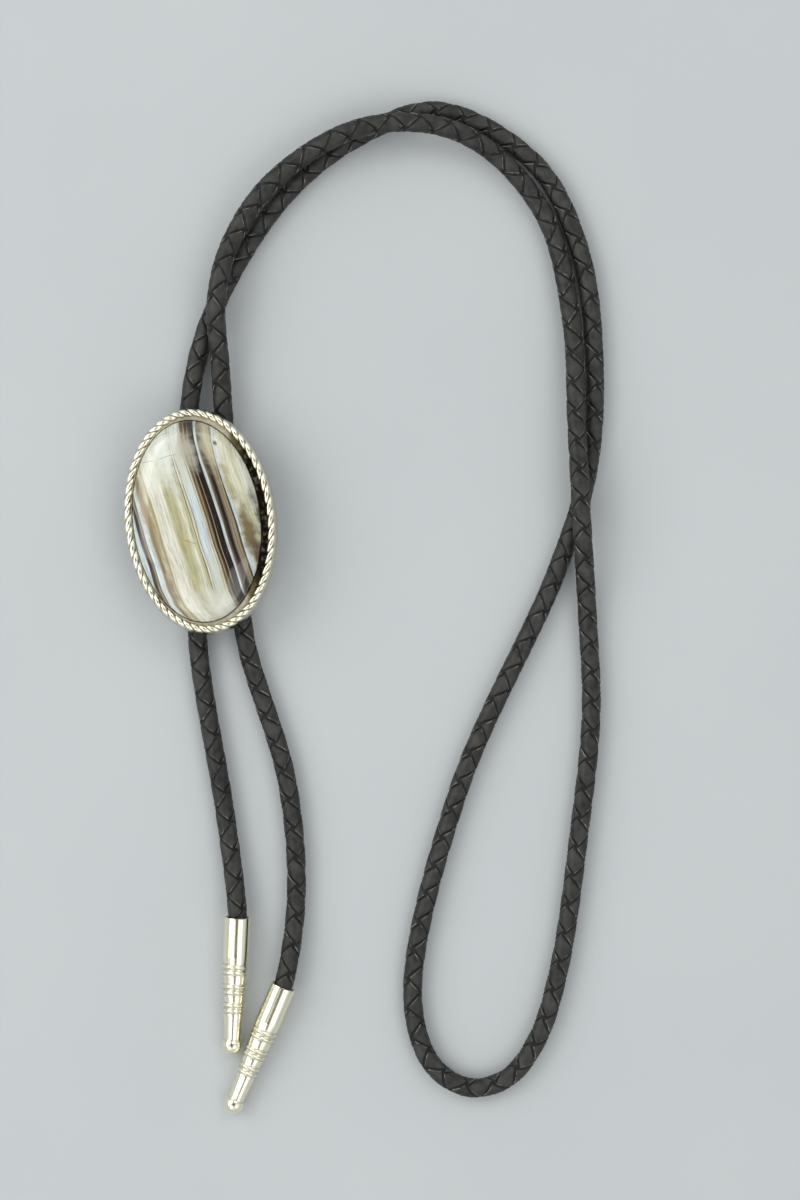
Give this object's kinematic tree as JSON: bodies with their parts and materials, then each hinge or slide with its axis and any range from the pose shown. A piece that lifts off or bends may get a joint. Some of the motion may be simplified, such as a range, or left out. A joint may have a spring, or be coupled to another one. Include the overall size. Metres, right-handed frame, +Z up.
{
  "type": "bolo tie",
  "caption": "Bolo tie laid flat: oval banded stone in a twisted-wire setting on a round braided leather cord with metal tips.",
  "frame": {"origin": "on the surface that the tie lies on, under the middle of the oval setting", "axes": "+Z up out of the stone, +Y along the setting's long axis towards the neck side, +X across the setting towards the neck loop"},
  "size_m": [0.1142, 0.2284, 0.0159],
  "materials": {
    "clip_metal": "satin",
    "setting_metal": "gloss",
    "agate": "polished",
    "cord_leather": "satin",
    "tip_metal": "gloss"
  },
  "bodies": {
    "root": {"cord_clip": "clip_metal", "setting": "setting_metal", "stone": "agate", "cord": "cord_leather", "tip_left": "tip_metal", "tip_right": "tip_metal"}
  },
  "joints": []
}
